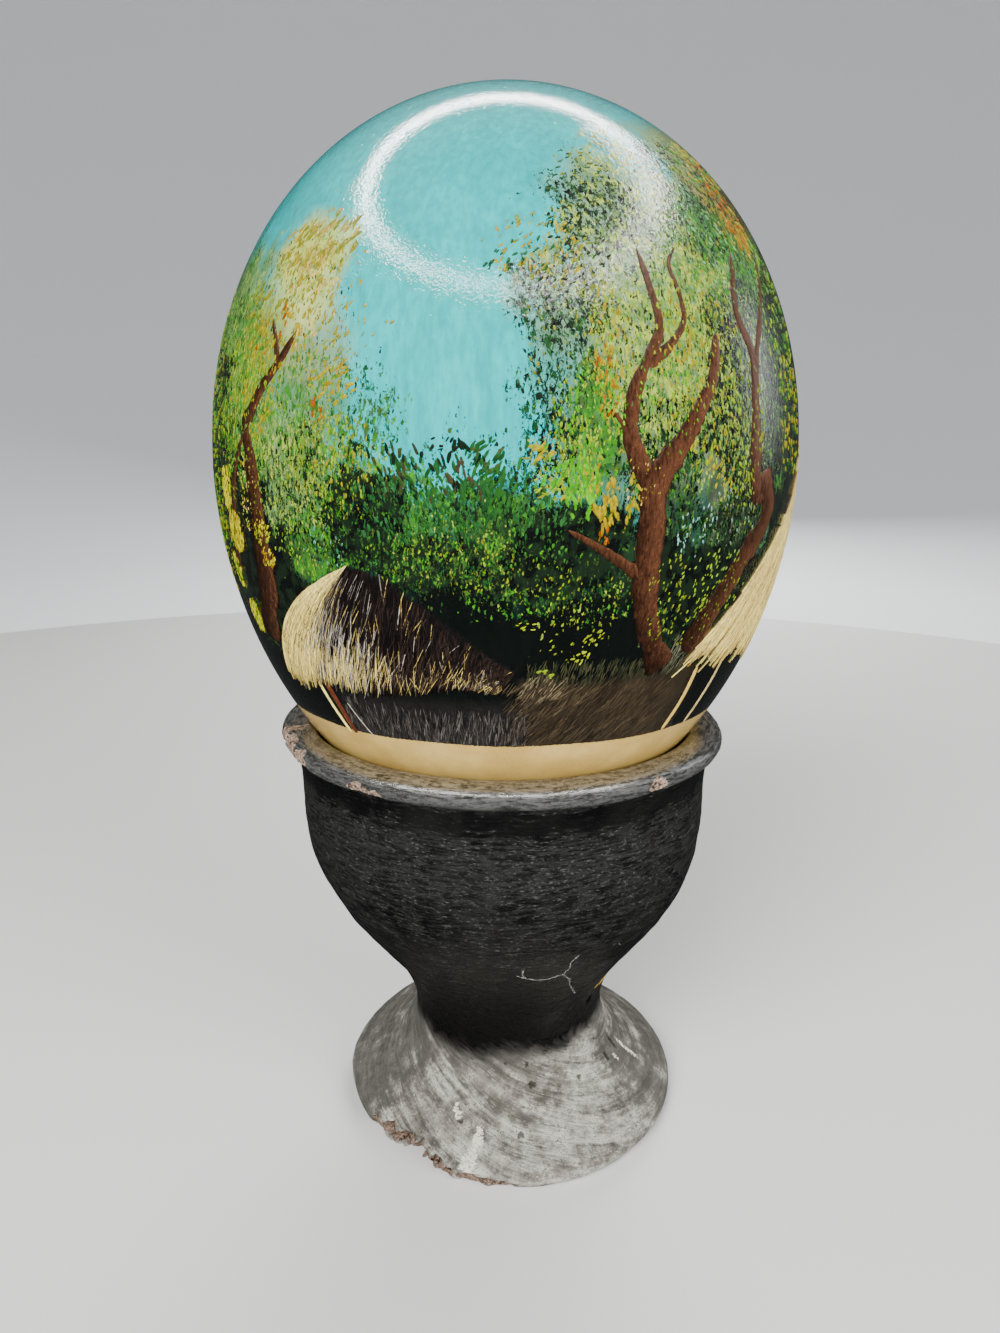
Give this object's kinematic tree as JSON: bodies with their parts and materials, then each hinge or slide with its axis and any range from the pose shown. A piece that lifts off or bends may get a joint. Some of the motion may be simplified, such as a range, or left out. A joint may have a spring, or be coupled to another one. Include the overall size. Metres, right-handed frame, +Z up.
{
  "type": "painted ostrich egg on clay stand",
  "caption": "Blown ostrich egg painted with a hut and tree landscape, resting blunt end up in a black-fired clay goblet from which it lifts out.",
  "frame": {"origin": "on the floor that the foot stands on, at the middle of the egg's width, below its centre", "axes": "+Z up along the egg's long axis; +X to the right and -Y towards the viewer who faces the gap of sky between the two painted trees"},
  "size_m": [0.1272, 0.1272, 0.2351],
  "materials": {
    "painted_shell": "thick eggshell painted in oils or acrylics, under a glossy varnish with fine pits",
    "membrane": "dry, matt and papery",
    "burnished_clay": "black-fired and burnished, with a soft graphite sheen on the rim",
    "dusty_clay": "smoke-grey, wiped and dusty, with a worn edge"
  },
  "bodies": {
    "stand": {"cup_bowl": "burnished_clay", "pedestal_foot": "dusty_clay"},
    "egg": {"egg_shell": "painted_shell", "shell_membrane": "membrane"}
  },
  "joints": [
    {"name": "egg_lift", "type": "slide", "parent": "stand", "child": "egg", "axis": [0, 0, 1], "range_m": [0, 0.08]}
  ]
}
